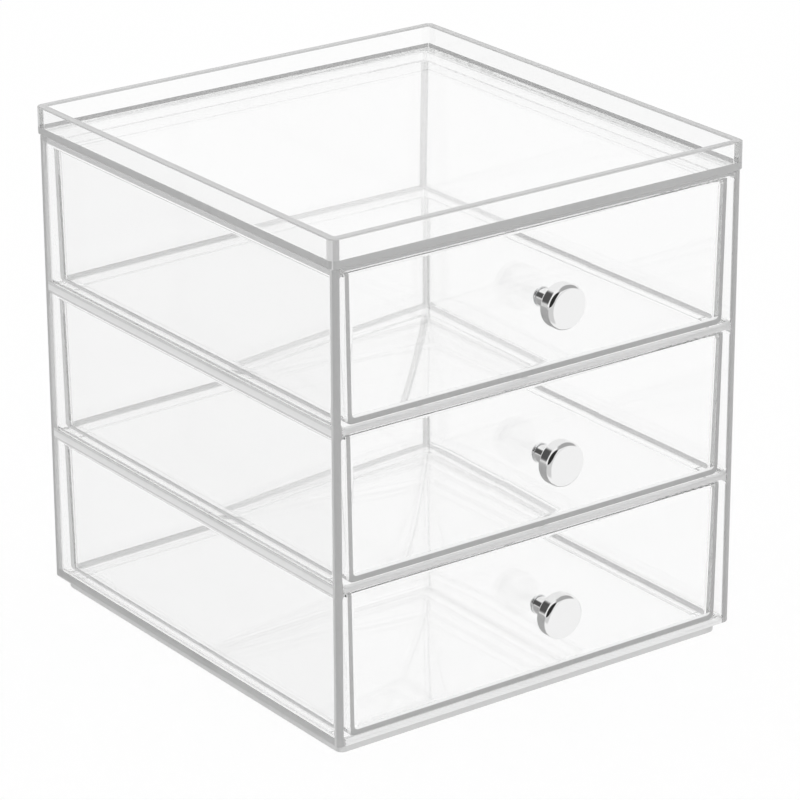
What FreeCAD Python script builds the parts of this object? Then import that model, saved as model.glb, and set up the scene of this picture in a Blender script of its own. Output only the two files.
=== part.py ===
"""Clear desktop organiser with three pull-out drawers, a tray top and chrome-plated knobs.

Frame: +Z up, drawers open towards -Y, origin on the table below the middle of the whole
footprint, knobs included. All sizes are in millimetres.
"""
import FreeCAD, Part
import math
import os
import Sketcher
from FreeCAD import Vector

DRAWERS = ("bottom", "middle", "top")

SIZES = {
    # case: one clear moulding with a back wall and two built-in shelves
    "case_width": 165.8,
    "case_depth": 172.8,
    "case_height": 164.0,
    "case_corner": 2.0,
    "case_bottom_round": 0.8,
    "case_top_round": 0.8,
    "case_front_round": 0.7,
    "side_wall": 3.0,
    "back_wall": 2.5,
    "top_plate": 1.6,
    "floor_plate": 1.7,
    "shelf_plate": 1.9,
    "bay_corner": 2.4,
    "bay_rear_round": 1.8,
    # runner ribs that carry the drawers, moulded on the floor and the shelves
    "runner_width": 8.0,
    "runner_height": 0.3,
    "runner_setback": 9.0,
    # foot: shallow upturned tray bonded under the case
    "foot_height": 4.0,
    "foot_inset": 3.1,
    "foot_wall": 2.5,
    "foot_plate": 1.5,
    "foot_corner": 3.0,
    "foot_round": 1.0,
    # tray: shallow moulding bonded on top of the case
    "tray_overhang": 0.6,
    "tray_height": 10.0,
    "tray_floor": 2.0,
    "tray_corner": 2.5,
    "recess_corner": 0.6,
    "rim_wall": 3.2,
    "rim_round": 0.5,
    # drawers: one clear moulding each
    "front_recess": 1.2,
    "front_side_gap": 2.0,
    "front_top_gap": 1.0,
    "front_thickness": 2.4,
    "front_round": 0.9,
    "drawer_draft": 0.8,
    "drawer_corner": 2.6,
    "drawer_wall": 1.9,
    "drawer_rim_wall": 1.3,
    "drawer_floor": 1.6,
    "drawer_side_drop": 1.8,
    "drawer_rear_gap": 1.5,
    "drawer_inner_corner": 2.4,
    "drawer_inner_round": 0.6,
    # knobs, washers and screws
    "knob_rise": 1.2,
    "knob_reach": 14.0,
    "knob_head_diameter": 15.4,
    "knob_head_length": 5.8,
    "knob_face_round": 1.6,
    "knob_back_round": 1.3,
    "knob_neck_diameter": 6.2,
    "washer_diameter": 6.8,
    "washer_thickness": 0.8,
    "screw_diameter": 3.0,
    "screw_head_diameter": 5.0,
    "screw_grip": 6.0,
    "bore_spare": 1.0,
    "screw_hole_gap": 0.1,
    "thread_gap": 0.02,
    "recess_length": 2.6,
    "recess_width": 0.6,
    "recess_depth": 0.8,
}

# Share of a plate's thickness that the rounding on its outer and on its inner edge may take.
OUTER_SHARE = 0.5
INNER_SHARE = 0.45

# Sizes worked out from the driving ones, as text for the expressions.
BAY_WIDTH = "(Sizes.case_width - 2 * Sizes.side_wall)"
BAY_DEPTH = "(Sizes.case_depth - Sizes.back_wall)"
BAYS_HEIGHT = "(Sizes.case_height - Sizes.top_plate - Sizes.floor_plate)"
BAY_HEIGHT = f"(({BAYS_HEIGHT} - {len(DRAWERS) - 1} * Sizes.shelf_plate) / {len(DRAWERS)})"
BAY_PITCH = f"({BAY_HEIGHT} + Sizes.shelf_plate)"
BOTTOM_ROUND = f"min(Sizes.case_bottom_round; {OUTER_SHARE} * Sizes.floor_plate)"
TOP_ROUND = f"min(Sizes.case_top_round; {OUTER_SHARE} * Sizes.top_plate)"
THINNEST_PLATE = "min(Sizes.floor_plate; Sizes.shelf_plate; Sizes.top_plate)"
MOUTH_ROUND = f"min(Sizes.case_front_round; {INNER_SHARE} * {THINNEST_PLATE})"
TRAY_WIDTH = "(Sizes.case_width + 2 * Sizes.tray_overhang)"
TRAY_DEPTH = "(Sizes.case_depth + 2 * Sizes.tray_overhang)"
FOOT_WIDTH = "(Sizes.case_width - 2 * Sizes.foot_inset)"
FOOT_DEPTH = "(Sizes.case_depth - 2 * Sizes.foot_inset)"
FRONT_WIDTH = f"({BAY_WIDTH} - 2 * Sizes.front_side_gap)"
FRONT_HEIGHT = f"({BAY_HEIGHT} - Sizes.runner_height - Sizes.front_top_gap)"
BASE_WIDTH = f"({FRONT_WIDTH} - 2 * Sizes.drawer_draft)"
DRAWER_LENGTH = f"({BAY_DEPTH} - Sizes.front_recess - Sizes.drawer_rear_gap)"
CASE_Y = "((Sizes.knob_reach - Sizes.front_recess - Sizes.tray_overhang) / 2)"
DRAWER_Y = f"({CASE_Y} + Sizes.front_recess - Sizes.case_depth / 2)"
KNOB_Z = f"({FRONT_HEIGHT} / 2 + Sizes.knob_rise)"
SCREW_HOLE_RADIUS = "(Sizes.screw_diameter / 2 + Sizes.screw_hole_gap)"
COUNTERSINK = "((Sizes.screw_head_diameter - Sizes.screw_diameter) / 2)"
SCREW_LENGTH = "(Sizes.front_thickness + Sizes.washer_thickness + Sizes.screw_grip)"


def drawer_z(index):
    """Height of a drawer's underside: the top of its runner ribs."""
    return (f"Sizes.foot_height + Sizes.floor_plate + Sizes.runner_height"
            f" + {index} * {BAY_PITCH}")


# ---------------------------------------------------------------- document and sheet
def make_sheet(doc):
    sheet = doc.addObject("Spreadsheet::Sheet", "Sizes")
    for row, (name, size) in enumerate(SIZES.items(), start=1):
        sheet.set(f"A{row}", name)
        sheet.set(f"B{row}", str(size))
        sheet.setAlias(f"B{row}", name)
    doc.recompute()
    return sheet


def new_body(doc, label, y, z):
    """A body whose Placement follows the sheet."""
    body = doc.addObject("PartDesign::Body", label)
    body.Label = label
    body.setExpression("Placement.Base.y", y)
    body.setExpression("Placement.Base.z", z)
    return body


# ---------------------------------------------------------------- sketches
def origin_feature(body, role):
    return next(item for item in body.Origin.OriginFeatures if item.Role == role)


def new_sketch(body, name, plane, offset="0"):
    """A sketch on an origin plane, moved by offset along the plane's normal."""
    sketch = body.newObject("Sketcher::SketchObject", f"{body.Name}_{name}")
    sketch.AttachmentSupport = [(origin_feature(body, plane), "")]
    sketch.MapMode = "FlatFace"
    sketch.setExpression("AttachmentOffset.Base.z", offset)
    return sketch


def measure(sketch, expression):
    return float(sketch.evalExpression(expression))


def hold_point(sketch, line, end, axis, place):
    """Ties one coordinate of a point to an expression."""
    if place == "0":
        crossing_axis = {"X": -2, "Y": -1}[axis]
        sketch.addConstraint(Sketcher.Constraint("PointOnObject", line, end, crossing_axis))
        return
    distance = Sketcher.Constraint(f"Distance{axis}", -1, 1, line, end, measure(sketch, place))
    index = sketch.addConstraint(distance)
    sketch.setExpression(f"Constraints[{index}]", place)


def add_polygon(sketch, corners):
    """Closed outline through corners, each a pair of expressions."""
    points = [Vector(measure(sketch, x), measure(sketch, y), 0) for x, y in corners]
    ends = points[1:] + points[:1]
    lines = [sketch.addGeometry(Part.LineSegment(a, b), False) for a, b in zip(points, ends)]
    for line, following in zip(lines, lines[1:] + lines[:1]):
        sketch.addConstraint(Sketcher.Constraint("Coincident", line, 2, following, 1))
    for line, (x, y) in zip(lines, corners):
        hold_point(sketch, line, 1, "X", x)
        hold_point(sketch, line, 1, "Y", y)


def add_rectangle(sketch, left, right, low, high):
    add_polygon(sketch, [(left, low), (right, low), (right, high), (left, high)])


def add_rounded_rectangle(sketch, left, right, low, high, radius):
    """Rectangle with four equal corner arcs."""
    x0, x1, y0, y1, r = (measure(sketch, size) for size in (left, right, low, high, radius))
    sides = [
        (Vector(x0 + r, y0, 0), Vector(x1 - r, y0, 0)),
        (Vector(x1, y0 + r, 0), Vector(x1, y1 - r, 0)),
        (Vector(x1 - r, y1, 0), Vector(x0 + r, y1, 0)),
        (Vector(x0, y1 - r, 0), Vector(x0, y0 + r, 0)),
    ]
    centres = [(x1 - r, y0 + r), (x1 - r, y1 - r), (x0 + r, y1 - r), (x0 + r, y0 + r)]
    lines = [sketch.addGeometry(Part.LineSegment(a, b), False) for a, b in sides]
    arcs = []
    for turn, (x, y) in enumerate(centres):
        circle = Part.Circle(Vector(x, y, 0), Vector(0, 0, 1), r)
        quarter = Part.ArcOfCircle(circle, math.radians(90 * turn - 90), math.radians(90 * turn))
        arcs.append(sketch.addGeometry(quarter, False))
    for index, arc in enumerate(arcs):
        following = lines[(index + 1) % 4]
        sketch.addConstraint(Sketcher.Constraint("Tangent", lines[index], 2, arc, 1))
        sketch.addConstraint(Sketcher.Constraint("Tangent", arc, 2, following, 1))
    for line, kind in zip(lines, ("Horizontal", "Vertical", "Horizontal", "Vertical")):
        sketch.addConstraint(Sketcher.Constraint(kind, line))
    for arc in arcs[1:]:
        sketch.addConstraint(Sketcher.Constraint("Equal", arcs[0], arc))
    index = sketch.addConstraint(Sketcher.Constraint("Radius", arcs[0], r))
    sketch.setExpression(f"Constraints[{index}]", radius)
    hold_point(sketch, lines[0], 1, "Y", low)
    hold_point(sketch, lines[1], 1, "X", right)
    hold_point(sketch, lines[2], 1, "Y", high)
    hold_point(sketch, lines[3], 1, "X", left)


def add_circle(sketch, x, y, radius):
    circle = Part.Circle(Vector(measure(sketch, x), measure(sketch, y), 0), Vector(0, 0, 1),
                         measure(sketch, radius))
    round_line = sketch.addGeometry(circle, False)
    index = sketch.addConstraint(Sketcher.Constraint("Radius", round_line, circle.Radius))
    sketch.setExpression(f"Constraints[{index}]", radius)
    hold_point(sketch, round_line, 3, "X", x)
    hold_point(sketch, round_line, 3, "Y", y)


# ---------------------------------------------------------------- features
def pad(body, sketch, length, backwards=False):
    feature = body.newObject("PartDesign::Pad", f"{sketch.Name}_pad")
    feature.Profile = sketch
    feature.setExpression("Length", length)
    feature.Reversed = backwards
    sketch.Document.recompute()
    return feature


def pocket(body, sketch, depth, backwards=False):
    """Cuts against the sketch's normal, or along it when backwards; refuses to cut nothing."""
    before = body.Tip.Shape.Volume
    feature = body.newObject("PartDesign::Pocket", f"{sketch.Name}_pocket")
    feature.Profile = sketch
    feature.setExpression("Length", depth)
    feature.Reversed = backwards
    sketch.Document.recompute()
    if not feature.Shape.Volume < before:
        raise RuntimeError(f"{feature.Name} cuts nothing")
    return feature


def revolve_about_y(body, sketch):
    feature = body.newObject("PartDesign::Revolution", f"{sketch.Name}_turned")
    feature.Profile = sketch
    feature.ReferenceAxis = (origin_feature(body, "Y_Axis"), [""])
    feature.Angle = 360
    sketch.Document.recompute()
    return feature


def repeat_up(body, feature, name):
    """Repeats a feature once for each drawer, one bay pitch apart."""
    pattern = body.newObject("PartDesign::LinearPattern", f"{body.Name}_{name}")
    pattern.Originals = [feature]
    pattern.Direction = (origin_feature(body, "Z_Axis"), [""])
    pattern.Occurrences = len(DRAWERS)
    pattern.setExpression("Length", f"{len(DRAWERS) - 1} * {BAY_PITCH}")
    body.Tip = pattern
    body.Document.recompute()
    return pattern


def soften(body, name, radius, wanted, kind="Fillet"):
    """Rounds or chamfers the edges that wanted(edge) picks on the body's newest feature."""
    base = body.Tip
    picked = [f"Edge{number}" for number, edge in enumerate(base.Shape.Edges, start=1)
              if wanted(edge)]
    if not picked:
        raise RuntimeError(f"{body.Name} has no edge for {name}")
    feature = body.newObject(f"PartDesign::{kind}", f"{body.Name}_{name}")
    feature.Base = (base, picked)
    feature.setExpression("Radius" if kind == "Fillet" else "Size", radius)
    body.Document.recompute()
    return feature


def flat_at(edge, axis, place):
    """True where the whole edge lies in one plane across an axis."""
    box = edge.BoundBox
    low, high = {"Y": (box.YMin, box.YMax), "Z": (box.ZMin, box.ZMax)}[axis]
    return abs(low - place) < 0.01 and abs(high - place) < 0.01


def runs_along_y(edge):
    box = edge.BoundBox
    return box.YLength > box.XLength + box.ZLength


def rises_from(edge, height):
    """True for an upright edge whose lower end is at this height."""
    box = edge.BoundBox
    return box.ZLength > box.XLength + box.YLength and abs(box.ZMin - height) < 0.01


def round_across(edge, diameter):
    """True for a circle of this diameter."""
    return isinstance(edge.Curve, Part.Circle) and abs(2 * edge.Curve.Radius - diameter) < 0.01


def within(edge, half_width, lowest, highest):
    """True where the edge lies inside an upright rectangle, centred on x = 0."""
    box = edge.BoundBox
    slack = 0.01
    across = max(abs(box.XMin), abs(box.XMax)) < half_width + slack
    return across and box.ZMin > lowest - slack and box.ZMax < highest + slack


# ---------------------------------------------------------------- case, foot and tray
def make_case(doc):
    body = new_body(doc, "case_shell", CASE_Y, "Sizes.foot_height")
    plan = new_sketch(body, "plan", "XY_Plane")
    add_rounded_rectangle(plan, "-Sizes.case_width / 2", "Sizes.case_width / 2",
                          "-Sizes.case_depth / 2", "Sizes.case_depth / 2", "Sizes.case_corner")
    pad(body, plan, "Sizes.case_height")
    top = measure(plan, "Sizes.case_height")
    soften(body, "bottom_edge", BOTTOM_ROUND, lambda edge: flat_at(edge, "Z", 0))
    soften(body, "top_edge", TOP_ROUND, lambda edge: flat_at(edge, "Z", top))

    bay = new_sketch(body, "bay", "XZ_Plane", "Sizes.case_depth / 2")
    add_rounded_rectangle(bay, f"-{BAY_WIDTH} / 2", f"{BAY_WIDTH} / 2",
                          "Sizes.floor_plate", f"Sizes.floor_plate + {BAY_HEIGHT}",
                          "Sizes.bay_corner")
    repeat_up(body, pocket(body, bay, BAY_DEPTH), "bays")
    front = -measure(bay, "Sizes.case_depth / 2")
    rear = measure(bay, "Sizes.case_depth / 2 - Sizes.back_wall")
    half_width = measure(bay, f"{BAY_WIDTH} / 2")
    lowest = measure(bay, "Sizes.floor_plate")
    highest = measure(bay, "Sizes.case_height - Sizes.top_plate")
    soften(body, "front_edges", MOUTH_ROUND,
           lambda edge: flat_at(edge, "Y", front) and within(edge, half_width, lowest, highest))
    soften(body, "rear_corners", "Sizes.bay_rear_round", lambda edge: flat_at(edge, "Y", rear))

    runners = new_sketch(body, "runner", "XZ_Plane", "Sizes.case_depth / 2 - Sizes.runner_setback")
    inner = f"({BAY_WIDTH} / 2 - Sizes.runner_width)"
    outer = f"({BAY_WIDTH} / 2 + Sizes.side_wall / 2)"
    low = "Sizes.floor_plate / 2"
    high = "Sizes.floor_plate + Sizes.runner_height"
    add_rectangle(runners, inner, outer, low, high)
    add_rectangle(runners, f"-{outer}", f"-{inner}", low, high)
    ribs = pad(body, runners, f"{BAY_DEPTH} - Sizes.runner_setback + Sizes.back_wall / 2",
               backwards=True)
    repeat_up(body, ribs, "runners")
    return body


def make_foot(doc):
    body = new_body(doc, "base_foot", CASE_Y, "0")
    plan = new_sketch(body, "plan", "XY_Plane")
    add_rounded_rectangle(plan, f"-{FOOT_WIDTH} / 2", f"{FOOT_WIDTH} / 2",
                          f"-{FOOT_DEPTH} / 2", f"{FOOT_DEPTH} / 2", "Sizes.foot_corner")
    pad(body, plan, "Sizes.foot_height")
    soften(body, "bottom_edge", "Sizes.foot_round", lambda edge: flat_at(edge, "Z", 0))

    hollow = new_sketch(body, "hollow", "XY_Plane")
    side = f"({FOOT_WIDTH} / 2 - Sizes.foot_wall)"
    end = f"({FOOT_DEPTH} / 2 - Sizes.foot_wall)"
    add_rectangle(hollow, f"-{side}", side, f"-{end}", end)
    pocket(body, hollow, "Sizes.foot_height - Sizes.foot_plate", backwards=True)
    return body


def make_tray(doc):
    body = new_body(doc, "top_tray", CASE_Y, "Sizes.foot_height + Sizes.case_height")
    plan = new_sketch(body, "plan", "XY_Plane")
    add_rounded_rectangle(plan, f"-{TRAY_WIDTH} / 2", f"{TRAY_WIDTH} / 2",
                          f"-{TRAY_DEPTH} / 2", f"{TRAY_DEPTH} / 2", "Sizes.tray_corner")
    pad(body, plan, "Sizes.tray_height")

    recess = new_sketch(body, "recess", "XY_Plane", "Sizes.tray_height")
    side = f"({TRAY_WIDTH} / 2 - Sizes.rim_wall)"
    end = f"({TRAY_DEPTH} / 2 - Sizes.rim_wall)"
    add_rounded_rectangle(recess, f"-{side}", side, f"-{end}", end, "Sizes.recess_corner")
    pocket(body, recess, "Sizes.tray_height - Sizes.tray_floor")

    rim_top = measure(recess, "Sizes.tray_height")
    soften(body, "rim_edges", "Sizes.rim_round",
           lambda edge: flat_at(edge, "Z", 0) or flat_at(edge, "Z", rim_top))
    return body


# ---------------------------------------------------------------- drawers
def make_drawer(doc, label, index):
    """Open-topped box with a taller front and drafted sides; its local origin is below the
    middle of the front face."""
    body = new_body(doc, label, DRAWER_Y, drawer_z(index))
    outline = new_sketch(body, "outline", "XZ_Plane")
    add_polygon(outline, [
        (f"-{BASE_WIDTH} / 2", "0"), (f"{BASE_WIDTH} / 2", "0"),
        (f"{FRONT_WIDTH} / 2", FRONT_HEIGHT), (f"-{FRONT_WIDTH} / 2", FRONT_HEIGHT),
    ])
    pad(body, outline, DRAWER_LENGTH, backwards=True)
    length = measure(outline, DRAWER_LENGTH)
    soften(body, "base_edges", "Sizes.drawer_corner",
           lambda edge: runs_along_y(edge) and flat_at(edge, "Z", 0))
    soften(body, "front_edge", "Sizes.front_round", lambda edge: flat_at(edge, "Y", 0))
    soften(body, "rear_edge", "Sizes.front_round", lambda edge: flat_at(edge, "Y", length))

    inside = new_sketch(body, "inside", "XZ_Plane", "-Sizes.front_thickness")
    base = f"({BASE_WIDTH} / 2 - Sizes.drawer_wall)"
    rim = f"({FRONT_WIDTH} / 2 - Sizes.drawer_rim_wall)"
    add_polygon(inside, [
        (f"-{base}", "Sizes.drawer_floor"), (base, "Sizes.drawer_floor"),
        (rim, FRONT_HEIGHT), (f"-{rim}", FRONT_HEIGHT),
    ])
    pocket(body, inside, f"{DRAWER_LENGTH} - Sizes.front_thickness - Sizes.drawer_wall")
    thickness = measure(inside, "Sizes.front_thickness")
    inner_rear = measure(inside, f"{DRAWER_LENGTH} - Sizes.drawer_wall")
    floor_top = measure(inside, "Sizes.drawer_floor")
    soften(body, "inner_corners", "Sizes.drawer_inner_corner",
           lambda edge: rises_from(edge, floor_top)
           and (flat_at(edge, "Y", thickness) or flat_at(edge, "Y", inner_rear)))
    soften(body, "floor_edge", "Sizes.drawer_inner_round",
           lambda edge: flat_at(edge, "Z", floor_top))

    drop = new_sketch(body, "side_drop", "XY_Plane", FRONT_HEIGHT)
    add_rectangle(drop, f"-{BAY_WIDTH} / 2", f"{BAY_WIDTH} / 2",
                  "Sizes.front_thickness", f"{DRAWER_LENGTH} + Sizes.drawer_rear_gap")
    pocket(body, drop, "Sizes.drawer_side_drop")

    hole = new_sketch(body, "screw_hole", "XZ_Plane", "-Sizes.front_thickness")
    add_circle(hole, "0", KNOB_Z, SCREW_HOLE_RADIUS)
    pocket(body, hole, "Sizes.front_thickness", backwards=True)
    hole_width = 2 * measure(hole, SCREW_HOLE_RADIUS)
    soften(body, "countersink", COUNTERSINK,
           lambda edge: flat_at(edge, "Y", thickness) and round_across(edge, hole_width),
           kind="Chamfer")
    return body


# ---------------------------------------------------------------- knobs
def make_knob(doc, label, index):
    """Turned knob with a neck and a blind threaded bore; local origin on the drawer front."""
    body = new_body(doc, label, DRAWER_Y, f"{drawer_z(index)} + {KNOB_Z}")
    bore = "(Sizes.screw_diameter / 2 + Sizes.thread_gap)"
    bore_end = "-(Sizes.washer_thickness + Sizes.screw_grip + Sizes.bore_spare)"
    shoulder = "-(Sizes.knob_reach - Sizes.knob_head_length)"
    half = new_sketch(body, "half_section", "XY_Plane")
    add_polygon(half, [
        (bore, "-Sizes.washer_thickness"),
        ("Sizes.knob_neck_diameter / 2", "-Sizes.washer_thickness"),
        ("Sizes.knob_neck_diameter / 2", shoulder),
        ("Sizes.knob_head_diameter / 2", shoulder),
        ("Sizes.knob_head_diameter / 2", "-Sizes.knob_reach"),
        ("0", "-Sizes.knob_reach"),
        ("0", bore_end),
        (bore, bore_end),
    ])
    revolve_about_y(body, half)
    face = -measure(half, "Sizes.knob_reach")
    back = measure(half, shoulder)
    head_width = measure(half, "Sizes.knob_head_diameter")

    soften(body, "face_edge", "Sizes.knob_face_round",
           lambda edge: flat_at(edge, "Y", face) and round_across(edge, head_width))
    soften(body, "back_edge", "Sizes.knob_back_round",
           lambda edge: flat_at(edge, "Y", back) and round_across(edge, head_width))
    return body


def make_washer(doc, label, index):
    body = new_body(doc, label, DRAWER_Y, f"{drawer_z(index)} + {KNOB_Z}")
    ring = new_sketch(body, "ring", "XZ_Plane")
    add_circle(ring, "0", "0", "Sizes.washer_diameter / 2")
    add_circle(ring, "0", "0", SCREW_HOLE_RADIUS)
    pad(body, ring, "Sizes.washer_thickness")
    return body


def make_screw(doc, label, index):
    """Countersunk screw from inside the drawer; local origin on the front's inner face."""
    body = new_body(doc, label, f"{DRAWER_Y} + Sizes.front_thickness",
                    f"{drawer_z(index)} + {KNOB_Z}")
    half = new_sketch(body, "half_section", "XY_Plane")
    add_polygon(half, [
        ("0", "0"),
        ("0", f"-{SCREW_LENGTH}"),
        ("Sizes.screw_diameter / 2", f"-{SCREW_LENGTH}"),
        ("Sizes.screw_diameter / 2", f"-{COUNTERSINK}"),
        ("Sizes.screw_head_diameter / 2", "0"),
    ])
    revolve_about_y(body, half)

    cross = new_sketch(body, "cross_recess", "XZ_Plane")
    arm, side = "Sizes.recess_length / 2", "Sizes.recess_width / 2"
    add_polygon(cross, [
        (arm, f"-{side}"), (arm, side), (side, side), (side, arm),
        (f"-{side}", arm), (f"-{side}", side), (f"-{arm}", side), (f"-{arm}", f"-{side}"),
        (f"-{side}", f"-{side}"), (f"-{side}", f"-{arm}"), (side, f"-{arm}"), (side, f"-{side}"),
    ])
    pocket(body, cross, "Sizes.recess_depth", backwards=True)
    return body


# ---------------------------------------------------------------- build, check and write
def make_organiser(doc):
    make_sheet(doc)
    bodies = [make_case(doc), make_foot(doc), make_tray(doc)]
    for index, level in enumerate(DRAWERS):
        bodies.append(make_drawer(doc, f"{level}_drawer", index))
        bodies.append(make_knob(doc, f"{level}_knob", index))
        bodies.append(make_washer(doc, f"{level}_knob_washer", index))
        bodies.append(make_screw(doc, f"{level}_knob_screw", index))
    doc.recompute()
    return bodies


def check(doc, bodies):
    for item in doc.Objects:
        if "Invalid" in item.State or "Error" in item.State:
            raise RuntimeError(f"{item.Name} failed: {item.State}")
    for body in bodies:
        shape = body.Shape
        if shape.isNull() or not shape.isValid() or len(shape.Solids) != 1:
            raise RuntimeError(f"{body.Label} is not one valid solid")


def write(bodies):
    os.makedirs("parts", exist_ok=True)
    for body in bodies:
        body.Shape.exportStep(f"parts/{body.Label}.step")
        box = body.Shape.BoundBox
        print(f"{body.Label}: {box.XLength:.2f} x {box.YLength:.2f} x {box.ZLength:.2f},"
              f" z {box.ZMin:.2f} to {box.ZMax:.2f}")


document = FreeCAD.newDocument("makeup_organiser")
pieces = make_organiser(document)
check(document, pieces)
write(pieces)
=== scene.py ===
"""Clear desktop organiser with three drawers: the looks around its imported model.

Everything is in metres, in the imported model's own frame: +Z up, drawers opening towards -Y.
"""
import math
from collections import namedtuple

import bmesh
import bpy
from mathutils import Matrix, Vector


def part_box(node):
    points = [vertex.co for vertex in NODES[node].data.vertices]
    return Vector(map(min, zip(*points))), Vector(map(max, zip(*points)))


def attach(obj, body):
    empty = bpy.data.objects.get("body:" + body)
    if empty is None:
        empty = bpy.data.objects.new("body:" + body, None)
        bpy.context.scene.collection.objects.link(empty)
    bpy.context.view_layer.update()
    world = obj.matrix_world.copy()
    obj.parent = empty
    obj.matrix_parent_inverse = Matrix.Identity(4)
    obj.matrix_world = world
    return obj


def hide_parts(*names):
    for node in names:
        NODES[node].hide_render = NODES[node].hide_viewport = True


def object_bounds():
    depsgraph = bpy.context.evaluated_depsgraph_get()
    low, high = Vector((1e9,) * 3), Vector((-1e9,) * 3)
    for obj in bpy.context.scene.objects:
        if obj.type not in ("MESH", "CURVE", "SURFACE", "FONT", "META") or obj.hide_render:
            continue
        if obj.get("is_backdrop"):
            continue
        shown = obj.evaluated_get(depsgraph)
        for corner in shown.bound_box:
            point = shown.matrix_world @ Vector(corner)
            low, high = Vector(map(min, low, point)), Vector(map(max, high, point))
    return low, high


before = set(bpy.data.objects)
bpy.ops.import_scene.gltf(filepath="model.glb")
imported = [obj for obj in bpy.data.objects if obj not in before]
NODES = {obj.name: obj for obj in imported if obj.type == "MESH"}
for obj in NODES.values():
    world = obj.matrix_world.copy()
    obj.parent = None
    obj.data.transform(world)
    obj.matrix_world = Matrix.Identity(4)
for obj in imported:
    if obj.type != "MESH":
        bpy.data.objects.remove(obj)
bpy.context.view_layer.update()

LEVELS = ("bottom", "middle", "top")


# ============================================================ camera
# A long lens looks down on the left front corner of the case from about 1.4 m away. It is level
# but for a fifth of a degree, and has no shift.
AZIMUTH = math.radians(36.163)
ELEVATION = math.radians(21.531)
ROLL = math.radians(-0.218)
FILM_WIDTH = 36.0
FOCAL_LENGTH = 180.71
CAMERA_PLACE = Vector((-0.7518, -1.0304, 0.5835))
FARTHEST_SEEN = 50.0

ahead = Vector((math.sin(AZIMUTH) * math.cos(ELEVATION),
                math.cos(AZIMUTH) * math.cos(ELEVATION),
                -math.sin(ELEVATION)))
level_right = Vector((math.cos(AZIMUTH), -math.sin(AZIMUTH), 0))
level_up = level_right.cross(ahead)
right = math.cos(ROLL) * level_right + math.sin(ROLL) * level_up
up = right.cross(ahead)

camera_data = bpy.data.cameras.new("camera")
camera_data.sensor_width = FILM_WIDTH
camera_data.lens = FOCAL_LENGTH
camera_data.clip_end = FARTHEST_SEEN
camera = bpy.data.objects.new("camera", camera_data)
camera.matrix_world = Matrix.Translation(CAMERA_PLACE) @ Matrix((right, up, -ahead)).transposed().to_4x4()
bpy.context.scene.collection.objects.link(camera)
bpy.context.scene.camera = camera


# ============================================================ studio
# A white table under a white dome, which lights everything evenly. Only polished metal mirrors
# the dark parts of the room: behind the camera, on the far left and above on the right. In metal
# the table too shows grey: a painted reflection of darkness past its near edge and a painted
# shadow behind the organiser, which only reflections see.
class Sock:
    """A node's socket, so that shader sums are written as plain sums."""

    def __init__(self, tree, socket=None):
        self.tree = tree
        self.socket = socket

    def node(self, kind, settings=None, *values, **named):
        """A new node: its settings first, then its sockets, in order or by name."""
        new = self.tree.nodes.new(kind)
        for name, setting in (settings or {}).items():
            setattr(new, name, setting)
        targets = list(zip(new.inputs, values))
        targets += [(new.inputs[name.replace("_", " ")], value) for name, value in named.items()]
        for target, value in targets:
            if isinstance(value, Sock):
                self.tree.links.new(value.socket, target)
            else:
                target.default_value = value
        return lambda output=0: Sock(self.tree, new.outputs[output])

    def maths(self, operation, *values):
        return self.node("ShaderNodeMath", {"operation": operation}, *values)()

    def over(self, edge, softness):
        """1 where this number is over the edge and 0 where it is under, with a soft step."""
        return self.node("ShaderNodeMapRange", {"interpolation_type": "SMOOTHSTEP"}, self,
                         edge - softness, edge + softness, 0.0, 1.0)()

    def is_counted(self):
        """1 where this count is 1 or more, and 0 where it is none."""
        return self.over(0.5, 0.1)

    def __abs__(self):
        return self.maths("ABSOLUTE", self)

    def __add__(self, other):
        return self.maths("ADD", self, other)

    def __sub__(self, other):
        return self.maths("SUBTRACT", self, other)

    def __rsub__(self, other):
        return self.maths("SUBTRACT", other, self)

    def __mul__(self, other):
        return self.maths("MULTIPLY", self, other)

    def __mod__(self, other):
        return self.maths("FLOORED_MODULO", self, other)

    __radd__ = __add__
    __rmul__ = __mul__


def empty_tree(owner):
    owner.use_nodes = True
    owner.node_tree.nodes.clear()
    return Sock(owner.node_tree)


DOME_WHITE = 1.0
DARK_PARTS = {
    # name: (towards, full darkness within this angle, none past this angle, how dark)
    "behind_camera": ((-0.60, -0.66, 0.25), 40.0, 50.0, 0.97),
    "far_left": ((-0.52, 0.76, 0.38), 14.0, 26.0, 0.90),
    "above_right": ((0.55, -0.354, 0.756), 32.0, 48.0, 0.58),
}
TABLE_SIZE = 30.0
TABLE_WHITE = 0.98
TABLE_DEPTH = 0.0002
SHADOW_WIPED = 0.85
NEAR_WAY_X = -0.78
NEAR_WAY_Y = -0.62
NEAR_EDGE = 0.13
NEAR_EDGE_SOFT = 0.02
PAST_EDGE_PAINTED_SHADE = 0.35
BEHIND_MIDDLE = -0.30
BEHIND_HALF_WIDTH = 0.42
BEHIND_SIDES_SOFT = 0.02
BEHIND_FRONT = -0.07
BEHIND_FRONT_SOFT = 0.01
BEHIND_PAINTED_SHADE = 0.62

bpy.context.scene.view_settings.view_transform = "Standard"
world = bpy.data.worlds.new("dome")
bpy.context.scene.world = world
sky = empty_tree(world)
towards = sky.node("ShaderNodeTexCoord")("Generated")
room = DOME_WHITE
for direction, inner, outer, depth in DARK_PARTS.values():
    toward_part = Vector(direction).normalized()
    closeness = sky.node("ShaderNodeVectorMath", {"operation": "DOT_PRODUCT"}, towards,
                         toward_part)("Value")
    shade = sky.node("ShaderNodeMapRange", {"interpolation_type": "SMOOTHSTEP"}, closeness,
                     math.cos(math.radians(outer)), math.cos(math.radians(inner)), 0.0, depth)()
    room = (1 - shade) * room
light_path = sky.node("ShaderNodeLightPath")
mirrored = light_path("Is Glossy Ray") * (1 - light_path("Is Transmission Ray"))
dome_light = sky.node("ShaderNodeBackground", None, (1, 1, 1, 1),
                      mirrored * room + (1 - mirrored) * DOME_WHITE)
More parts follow.
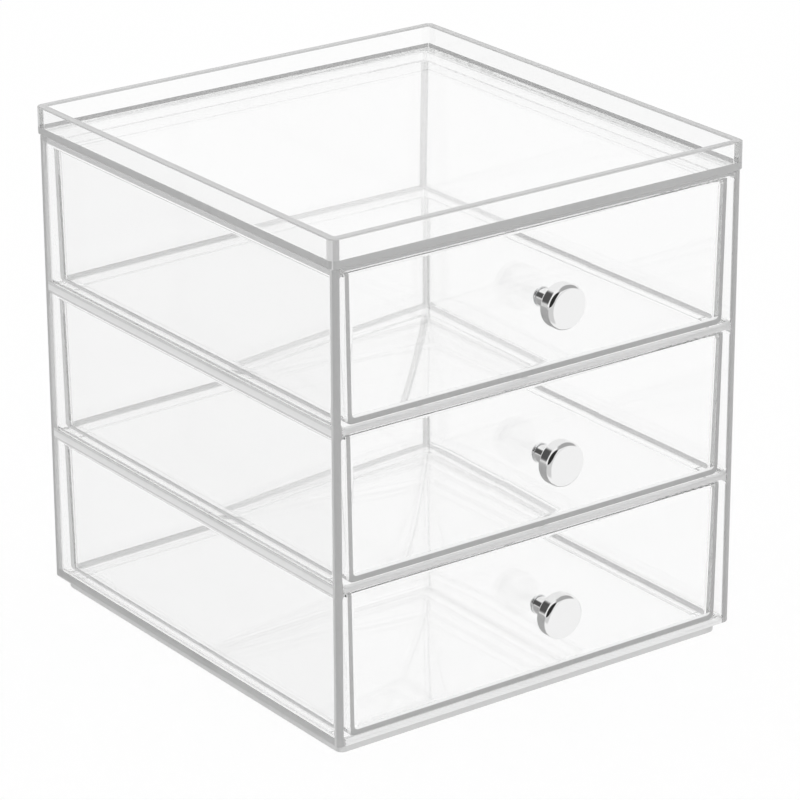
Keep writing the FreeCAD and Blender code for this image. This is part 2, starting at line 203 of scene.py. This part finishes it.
sky.node("ShaderNodeOutputWorld", None, dome_light())

table_paint = bpy.data.materials.new("white_table")
paint = empty_tree(table_paint)
flat_white = paint.node("ShaderNodeBsdfDiffuse", None, (TABLE_WHITE, TABLE_WHITE, TABLE_WHITE, 1))
path = paint.node("ShaderNodeLightPath")
spot = paint.node("ShaderNodeSeparateXYZ", None, paint.node("ShaderNodeTexCoord")("Object"))
nearness = spot("X") * NEAR_WAY_X + spot("Y") * NEAR_WAY_Y
past_edge = nearness.over(NEAR_EDGE, NEAR_EDGE_SOFT)
beside_it = abs(spot("X") - BEHIND_MIDDLE).over(BEHIND_HALF_WIDTH, BEHIND_SIDES_SOFT)
behind = (1 - beside_it) * spot("Y").over(BEHIND_FRONT, BEHIND_FRONT_SOFT)
in_metal = path("Is Glossy Ray") * (1 - path("Is Transmission Ray"))
# Only in reflections, the table takes painted shade past its near edge and behind the organiser.
shown = 1 - in_metal * paint.maths("MAXIMUM", past_edge * PAST_EDGE_PAINTED_SHADE, behind * BEHIND_PAINTED_SHADE)
even_white = paint.node("ShaderNodeEmission", None, (1, 1, 1, 1), shown)
looked_at = path("Is Camera Ray") + path("Is Glossy Ray") + path("Is Transmission Ray")
wiped = paint.maths("MINIMUM", looked_at, 1.0) * SHADOW_WIPED
white = paint.node("ShaderNodeMixShader", None, wiped, flat_white(), even_white())
paint.node("ShaderNodeOutputMaterial", None, white())

table_mesh = bpy.data.meshes.new("table")
shape = bmesh.new()
bmesh.ops.create_grid(shape, x_segments=1, y_segments=1, size=TABLE_SIZE / 2)
shape.to_mesh(table_mesh)
shape.free()
table_mesh.materials.append(table_paint)
table = bpy.data.objects.new("table", table_mesh)
table.location.z = -TABLE_DEPTH
bpy.context.scene.collection.objects.link(table)
table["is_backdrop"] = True

# Light runs to and fro inside the clear walls many times before it leaves them.
LIGHT_TURNS = 160
cycles = bpy.context.scene.cycles
cycles.max_bounces = LIGHT_TURNS
cycles.transmission_bounces = LIGHT_TURNS
cycles.glossy_bounces = LIGHT_TURNS
cycles.transparent_max_bounces = LIGHT_TURNS


# ============================================================ case
# The outer box with its back wall and two built-in shelves is one moulding of clear styrene or
# acrylic, polished by the mould. Light that runs a long way inside a wall comes out grey, and
# painted shade in grey bands at the ends of its walls and shelves draws its edges.
MM = 0.001
CLEAR_IOR = 1.49
CLEAR_TINT = (0.53, 0.535, 0.53, 1)
CLEAR_DENSITY = 7.0
SHADOW_TINT = (0.997, 0.997, 0.997, 1)
SHADE_PAINT_ROUGHNESS = 0.35
WELD = 0.002 * MM
FLAT_ANGLE = math.radians(0.5)
SEAM = 0.04 * MM
SOFT_ANGLE = math.radians(25)
FACE_WEIGHT = 100

# A band of painted shade: where it is, how much of the clear body it hides, its grey from 0
# (black) to 1 (white), and whether its inner side shows it too.
ShadeBand = namedtuple("ShadeBand", "mask cover grey through", defaults=[False])


def clear_plastic(name, zones):
    """Clear to the eye and to lamps, grey along its length, and coated with painted shade, as grey
    bands in the zones given. A later zone lies over the ones before it."""
    material = bpy.data.materials.new(name)
    tree = empty_tree(material)
    place = tree.node("ShaderNodeSeparateXYZ", None, tree.node("ShaderNodeTexCoord")("Object"))
    outside = 1 - tree.node("ShaderNodeNewGeometry")("Backfacing")
    painted_shade = 0.0
    grey = 0.5
    # Each zone lays painted shade over the clear body: a grey coat that hides part of it.
    for zone in zones(place("X"), place("Y"), place("Z")):
        mask = zone.mask if zone.through else zone.mask * outside
        painted_shade = painted_shade * (1 - mask) + mask * zone.cover
        grey = grey * (1 - mask) + mask * zone.grey
    path = tree.node("ShaderNodeLightPath")
    turned_back = path("Ray Depth") - path("Transmission Depth")
    # Rays that have turned back off a surface see no painted shade.
    painted_shade = painted_shade * (1 - turned_back.is_counted())
    even_grey = tree.node("ShaderNodeCombineColor", None, grey, grey, grey)
    body = tree.node("ShaderNodeBsdfPrincipled", None, Base_Color=(1, 1, 1, 1), Roughness=0.0,
                     IOR=CLEAR_IOR, Transmission_Weight=1.0)
    # The painted shade itself: a dull grey coat.
    shade_paint = tree.node("ShaderNodeBsdfPrincipled", None, Base_Color=even_grey(), Roughness=SHADE_PAINT_ROUGHNESS)
    with_painted_shade = tree.node("ShaderNodeMixShader", None, painted_shade, body(), shade_paint())
    let_through = tree.node("ShaderNodeBsdfTransparent", None, SHADOW_TINT)
    from_metal = path("Is Glossy Ray") * (1 - path("Transmission Depth").is_counted())
    lighting = tree.maths("MAXIMUM", path("Is Shadow Ray"), path("Is Diffuse Ray"))
    passing = tree.maths("MAXIMUM", lighting, from_metal)
    surface = tree.node("ShaderNodeMixShader", None, passing, with_painted_shade(), let_through())
    murk = tree.node("ShaderNodeVolumeAbsorption", None, CLEAR_TINT, CLEAR_DENSITY)
    tree.node("ShaderNodeOutputMaterial", None, surface(), murk())
    return material


def finish_piece(shape, node, piece_name, body_name, material, soft_angle, face_weight):
    """The shape as a piece of its own, smooth but for its sharp edges, in the place of its node."""
    mesh = bpy.data.meshes.new(piece_name)
    shape.to_mesh(mesh)
    shape.free()
    mesh.shade_smooth()
    mesh.set_sharp_from_angle(angle=soft_angle)
    mesh.materials.append(material)
    piece = bpy.data.objects.new(piece_name, mesh)
    bpy.context.scene.collection.objects.link(piece)
    flat_faces = piece.modifiers.new("flat_faces", "WEIGHTED_NORMAL")
    flat_faces.keep_sharp = True
    flat_faces.weight = face_weight
    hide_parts(node)
    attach(piece, body_name)


def moulding(node, piece_name, body_name, material):
    """The CAD solid as one welded mesh, drawn in by a hair so that pieces which touch keep air between."""
    shape = bmesh.new()
    shape.from_mesh(NODES[node].data)
    bmesh.ops.remove_doubles(shape, verts=shape.verts, dist=WELD)
    bmesh.ops.dissolve_limit(shape, angle_limit=FLAT_ANGLE, verts=shape.verts, edges=shape.edges)
    shape.normal_update()
    offsets = [vert.normal * vert.calc_shell_factor() * -SEAM for vert in shape.verts]
    for vert, offset in zip(shape.verts, offsets):
        vert.co += offset
    finish_piece(shape, node, piece_name, body_name, material, SOFT_ANGLE, FACE_WEIGHT)


case_low, case_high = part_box("case_shell")
SIDE_WALL = 3.0 * MM
SHELF = 1.9 * MM
CASE_FLOOR = 1.7 * MM
CASE_TOP = 1.6 * MM
bay_height = (case_high.z - case_low.z - CASE_TOP - CASE_FLOOR - 2 * SHELF) / 3
shelf_pitch = bay_height + SHELF

# How far each band of painted shade reaches from the face, edge or wall that it belongs to.
# FINE is how soft its border is.
FINE = 0.08 * MM
SIDE_SKIN = 0.3 * MM
UNDER_SHELF = 0.5 * MM
SHELF_END_HEIGHT = 3.4 * MM
SHELF_DARK_FOOT = 0.2 * MM
SHELF_DARK_TOP = 2.3 * MM
LOWEST_COUNTED = 1.0 * MM
TOP_END_EXTRA = 0.4 * MM
FLOOR_END_EXTRA = 1.9 * MM
FLOOR_PALE_FOOT = 1.0 * MM
REAR_END = 3.0 * MM
REAR_GLOW = 6.0 * MM
REAR_SKIN = 0.2 * MM
REAR_CORNER_EXTRA = 0.8 * MM
CORNER_SKIN = 1.0 * MM
CORNER_DEPTH = 1.6 * MM
FRONT_SKIN = 0.9 * MM
LIP_GAP = 0.4 * MM
LIP_DEPTH = 2.2 * MM
LIP_FLOOR_EXTRA = 0.5 * MM
LIP_TOP_EXTRA = 0.2 * MM

# The greys of the painted shade in those zones that aren't even, and how much darker or paler a
# part of each is.
SHELF_SHADE_GREY = 0.76
SHELF_FOOT_DARKER = 0.2
SHELF_TOP_DARKER = 0.14
FLOOR_SHADE_GREY = 0.54
FLOOR_TOP_DARKER = 0.13
LIP_SHADE_GREY = 0.63
LIP_FLOOR_PALER = 0.22
LIP_TOP_DARKER = 0.2


def case_zones(x, y, z):
    """Painted shade on the ends of walls and shelves on the outer sides and the front, and on the rear
    corners.
    """
    side_face = abs(x).over(case_high.x - SIDE_SKIN, FINE)
    from_shelf = z - case_low.z - CASE_FLOOR + SHELF
    from_shelf = (from_shelf + LOWEST_COUNTED) % shelf_pitch - LOWEST_COUNTED
    shelf_end = side_face * from_shelf.over(-UNDER_SHELF, FINE)
    shelf_end = shelf_end * (1 - from_shelf.over(SHELF_END_HEIGHT, FINE))
    shelf_shade_grey = SHELF_SHADE_GREY - from_shelf.over(SHELF_DARK_TOP, FINE) * SHELF_TOP_DARKER
    shelf_shade_grey = shelf_shade_grey - (1 - from_shelf.over(SHELF_DARK_FOOT, FINE)) * SHELF_FOOT_DARKER
    top_end = side_face * z.over(case_high.z - CASE_TOP - TOP_END_EXTRA, FINE)
    floor_end = side_face * (1 - z.over(case_low.z + CASE_FLOOR + FLOOR_END_EXTRA, FINE))
    floor_shade_grey = FLOOR_SHADE_GREY - z.over(case_low.z + FLOOR_PALE_FOOT, FINE) * FLOOR_TOP_DARKER
    rear_end = side_face * y.over(case_high.y - REAR_END, FINE)
    rear_side = side_face * y.over(case_high.y - REAR_GLOW, FINE)
    rear_corner = y.over(case_high.y - REAR_SKIN, FINE)
    rear_corner = rear_corner * abs(x).over(case_high.x - SIDE_WALL - REAR_CORNER_EXTRA, FINE)
    front_side = abs(x).over(case_high.x - CORNER_SKIN, FINE) * (1 - y.over(case_low.y + CORNER_DEPTH, FINE))
    front_face = 1 - y.over(case_low.y + FRONT_SKIN, FINE)
    side_end = front_face * abs(x).over(case_high.x - SIDE_WALL, FINE)
    shelf_lip = 1 - abs(x).over(case_high.x - SIDE_WALL - LIP_GAP, FINE)
    shelf_lip = shelf_lip * (1 - y.over(case_low.y + LIP_DEPTH, FINE))
    lip_shade_grey = LIP_SHADE_GREY + (1 - z.over(case_low.z + CASE_FLOOR + LIP_FLOOR_EXTRA, FINE)) * LIP_FLOOR_PALER
    lip_shade_grey = lip_shade_grey - z.over(case_high.z - CASE_TOP - LIP_TOP_EXTRA, FINE) * LIP_TOP_DARKER
    return [ShadeBand(rear_corner, cover=0.35, grey=0.60, through=True),
            ShadeBand(rear_side, cover=0.55, grey=0.68),
            ShadeBand(shelf_end, cover=0.85, grey=shelf_shade_grey),
            ShadeBand(floor_end, cover=0.85, grey=floor_shade_grey),
            ShadeBand(top_end, cover=0.75, grey=0.45),
            ShadeBand(rear_end, cover=0.92, grey=0.43),
            ShadeBand(front_side, cover=0.9, grey=0.55),
            ShadeBand(shelf_lip, cover=0.85, grey=lip_shade_grey),
            ShadeBand(side_end, cover=0.92, grey=0.41)]


moulding("case_shell", "case_moulding", "case", clear_plastic("clear_case", case_zones))


# ============================================================ foot
# A shallow upturned tray of the same plastic, bonded under the case. It is set in all round, so
# that it drops into the tray top of another organiser.
foot_low, foot_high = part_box("base_foot")
foot_middle = (foot_low.y + foot_high.y) / 2
FOOT_SKIN = 1.2 * MM
FOOT_SHADE_GREY = 0.54
FOOT_ENDS_PALER = 0.03


def foot_zones(x, y, z):
    """Painted shade on all its outer sides, a little paler at the front and rear."""
    sides = abs(x).over(foot_high.x - FOOT_SKIN, FINE)
    ends = abs(y - foot_middle).over(foot_high.y - foot_middle - FOOT_SKIN, FINE)
    return [ShadeBand(z.maths("MAXIMUM", sides, ends), cover=0.9, grey=FOOT_SHADE_GREY + ends * FOOT_ENDS_PALER)]


moulding("base_foot", "foot_moulding", "case", clear_plastic("clear_foot", foot_zones))


# ============================================================ tray
# A shallow tray of the same plastic, bonded on top of the case with a small overhang. The top of
# its rim and its four corner posts are painted with soft grey bands of shade.
RIM_WALL = 3.2 * MM
TRAY_FLOOR = 2.0 * MM
tray_low, tray_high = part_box("top_tray")
tray_middle = (tray_low.y + tray_high.y) / 2

# How far each band of painted shade reaches from the tray's faces, its rim's inner side and its floor.
OUTER_SKIN = 0.6 * MM
EDGE_EXTRA = 0.8 * MM
FAR_EDGE_FOOT = 1.1 * MM
POST_TRIM = 0.3 * MM
POST_SKIN = 0.7 * MM
RIM_SKIN = 0.45 * MM

POST_SHADE_GREY = 0.66
POST_FRONT_DARKER = 0.19


def tray_zones(x, y, z):
    """Painted shade on the floor's edge, near and far, the top of the rim, and the four corner posts."""
    from_middle = abs(y - tray_middle)
    half_depth = tray_high.y - tray_middle
    outer = z.maths("MAXIMUM", abs(x).over(tray_high.x - OUTER_SKIN, FINE),
                    from_middle.over(half_depth - OUTER_SKIN, FINE))
    floor_edge = outer * (1 - z.over(tray_low.z + TRAY_FLOOR + EDGE_EXTRA, FINE))
    far_edge = floor_edge * z.over(tray_low.z + FAR_EDGE_FOOT, FINE)
    beside = abs(x).over(tray_high.x - RIM_WALL + POST_TRIM, FINE)
    before_or_behind = from_middle.over(half_depth - RIM_WALL + POST_TRIM, FINE)
    post_shade_grey = POST_SHADE_GREY - from_middle.over(half_depth - POST_SKIN, FINE) * POST_FRONT_DARKER
    rim_top = z.over(tray_high.z - RIM_SKIN, FINE)
    return [ShadeBand(beside * before_or_behind, cover=0.95, grey=post_shade_grey),
            ShadeBand(far_edge, cover=0.85, grey=0.36, through=True),
            ShadeBand(floor_edge, cover=0.85, grey=0.43),
            ShadeBand(rim_top, cover=0.85, grey=0.53)]


moulding("top_tray", "tray_moulding", "case", clear_plastic("clear_tray", tray_zones))


# ============================================================ drawers
# Three equal open boxes, each one moulding of clear plastic. They slide on the runner ribs of
# the case's floor and shelves. Where their walls show through the front, a grey U of painted
# shade lies on it.
DRAWER_DRAFT = 0.8 * MM
drawer_low, drawer_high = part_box("bottom_drawer")
drawer_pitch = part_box("middle_drawer")[0].z - drawer_low.z
drawer_height = drawer_high.z - drawer_low.z

# How far each band of painted shade reaches from the drawer's sides, rear, front and underside.
WALL_END = 2.3 * MM
FLOOR_END = 2.2 * MM
FRONT_DEPTH = 1.4 * MM
U_BASE = 2.3 * MM
U_BASE_PALE = 1.0 * MM
U_ARM = 2.0 * MM
U_MARGIN = 0.5 * MM
U_ROUND = 1.5 * MM
FROM_BELOW = 0.1 * MM


def drawer_zones(x, y, z):
    """Painted shade: the U round the front, the rear corners, and the ends of the floor on the other three
    sides.
    """
    rise = (z - drawer_low.z + FROM_BELOW) % drawer_pitch - FROM_BELOW
    lean = rise * (DRAWER_DRAFT / drawer_height) - DRAWER_DRAFT
    past_side = abs(x) - lean - drawer_high.x
    past_rear = y - lean - drawer_high.y
    side_edge = past_side.over(-WALL_END, FINE)
    rear_edge = past_rear.over(-WALL_END, FINE)
    floor_end = z.maths("MAXIMUM", side_edge, rear_edge) * (1 - rise.over(FLOOR_END, FINE))
    ends = z.maths("MAXIMUM", floor_end, side_edge * rear_edge)
    in_front = 1 - y.over(drawer_low.y + FRONT_DEPTH, FINE)
    into_arm = z.maths("MAXIMUM", past_side + (U_ARM + U_ROUND), 0.0)
    into_base = z.maths("MAXIMUM", U_BASE + U_ROUND - rise, 0.0)
    u_band = z.maths("SQRT", into_arm * into_arm + into_base * into_base).over(U_ROUND, FINE)
    u_band = u_band * (1 - past_side.over(-U_MARGIN, FINE))
    # A pale strip of painted light over the front, just above the U's base.
    above_base = in_front * (1 - rise.over(U_BASE + U_BASE_PALE, FINE))
    return [ShadeBand(ends, cover=0.85, grey=0.46, through=True),
            ShadeBand(ends, cover=0.8, grey=0.60),
            ShadeBand(above_base, cover=0.8, grey=0.92),
            ShadeBand(in_front * u_band, cover=0.9, grey=0.38)]


drawer_plastic = clear_plastic("clear_drawer", drawer_zones)
for level in LEVELS:
    moulding(f"{level}_drawer", f"{level}_drawer_moulding", f"{level}_drawer_unit",
             drawer_plastic)


# ============================================================ knobs
# A turned round knob, chrome plated: a drum with rounded edges on a short neck, and a blind bore
# for its screw. It is drawn against the washer by the screw from inside the drawer.
HEAD_RADIUS = 7.7 * MM
HEAD_LENGTH = 5.8 * MM
FACE_ROUND = 1.6 * MM
FACE_STEPS = 12
BACK_ROUND = 1.3 * MM
BACK_STEPS = 8
NECK_RADIUS = 3.1 * MM
BORE_RADIUS = 1.52 * MM
BORE_LENGTH = 7.0 * MM
TURNED_STEPS = 128
TURNED_WELD = 0.0001 * MM
TURNED_SOFT_ANGLE = math.radians(40)
TURNED_FACE_WEIGHT = 50
RUB_LEAST = 0.7
RUB_CHANGE = 0.6
RUB_DETAIL = 3.0


def spun(outline):
    """An outline of (radius, distance out) turned full circle about an axis along Y."""
    shape = bmesh.new()
    points = [shape.verts.new((radius, -out, 0)) for radius, out in outline]
    for start, end in zip(points, points[1:]):
        shape.edges.new((start, end))
    bmesh.ops.spin(shape, geom=shape.verts[:] + shape.edges[:], cent=(0, 0, 0), axis=(0, 1, 0),
                   angle=math.tau, steps=TURNED_STEPS, use_merge=True)
    bmesh.ops.remove_doubles(shape, verts=shape.verts, dist=TURNED_WELD)
    bmesh.ops.recalc_face_normals(shape, faces=shape.faces)
    return shape


def ring_edges(shape, radius, out):
    """The circle of edges at one corner of a turned outline."""
    near = 0.01 * MM
    return [edge for edge in shape.edges
            if all(abs(math.hypot(vert.co.x, vert.co.z) - radius) < near and abs(-vert.co.y - out) < near
                   for vert in edge.verts)]


def round_ring(shape, radius, out, size, steps):
    """The corner of a turned outline, rounded off."""
    bmesh.ops.bevel(shape, geom=ring_edges(shape, radius, out), affect="EDGES", offset=size,
                    segments=steps, profile=0.5, material=-1)


def metal(name, colour, roughness, grain):
    """Plated or turned metal: even colour, with a fine change of roughness over it."""
    material = bpy.data.materials.new(name)
    tree = empty_tree(material)
    place = tree.node("ShaderNodeTexCoord")("Object")
    rub = tree.node("ShaderNodeTexNoise", None, place, Scale=grain, Detail=RUB_DETAIL)("Fac")
    body = tree.node("ShaderNodeBsdfPrincipled", None, Base_Color=colour, Metallic=1.0,
                     Roughness=rub * (roughness * RUB_CHANGE) + roughness * RUB_LEAST)
    tree.node("ShaderNodeOutputMaterial", None, body())
    return material


def seat_of(low, high):
    """Where a knob or washer meets what carries it: the middle of its rear face."""
    return Vector(((low.x + high.x) / 2, high.y, (low.z + high.z) / 2))


def finish_turned(shape, node, piece_name, body_name, material, seat):
    """A turned shape, carried to its seat."""
    bmesh.ops.translate(shape, verts=shape.verts, vec=seat)
    finish_piece(shape, node, piece_name, body_name, material, TURNED_SOFT_ANGLE,
                 TURNED_FACE_WEIGHT)


chrome = metal("chrome", (0.88, 0.88, 0.88, 1), 0.03, 300.0)
for level in LEVELS:
    low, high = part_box(f"{level}_knob")
    reach = high.y - low.y
    shoulder = reach - HEAD_LENGTH
    knob_outline = [(0, BORE_LENGTH), (BORE_RADIUS, BORE_LENGTH), (BORE_RADIUS, 0), (NECK_RADIUS, 0),
                    (NECK_RADIUS, shoulder), (HEAD_RADIUS, shoulder), (HEAD_RADIUS, reach), (0, reach)]
    knob = spun(knob_outline)
    round_ring(knob, HEAD_RADIUS, reach, FACE_ROUND, FACE_STEPS)
    round_ring(knob, HEAD_RADIUS, shoulder, BACK_ROUND, BACK_STEPS)
    finish_turned(knob, f"{level}_knob", f"{level}_knob_turning", f"{level}_drawer_unit",
                  chrome, seat_of(low, high))


# ============================================================ washers
# A plated steel washer under each knob keeps its neck off the drawer's front.
WASHER_RADIUS = 3.4 * MM
WASHER_HOLE = 1.6 * MM
WASHER_ROUND = 0.15 * MM
WASHER_STEPS = 3
washer_metal = metal("washer_plating", (0.80, 0.805, 0.81, 1), 0.06, 500.0)
for level in LEVELS:
    low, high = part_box(f"{level}_knob_washer")
    thickness = high.y - low.y
    washer_outline = [(WASHER_HOLE, 0), (WASHER_RADIUS, 0), (WASHER_RADIUS, thickness),
                      (WASHER_HOLE, thickness), (WASHER_HOLE, 0)]
    washer = spun(washer_outline)
    round_ring(washer, WASHER_RADIUS, 0, WASHER_ROUND, WASHER_STEPS)
    round_ring(washer, WASHER_RADIUS, thickness, WASHER_ROUND, WASHER_STEPS)
    finish_turned(washer, f"{level}_knob_washer", f"{level}_washer_ring", f"{level}_drawer_unit",
                  washer_metal, seat_of(low, high))


# ============================================================ screws
# A small countersunk steel screw goes through each drawer's front from inside, into its knob.
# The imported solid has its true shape, slot included, so it stays and gets its finish here.
screw_steel = metal("screw_steel", (0.68, 0.68, 0.69, 1), 0.28, 900.0)
for level in LEVELS:
    data = NODES[f"{level}_knob_screw"].data
    data.materials.clear()
    data.materials.append(screw_steel)


# ============================================================ sizes
# The box of the finished looks.
low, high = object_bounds()
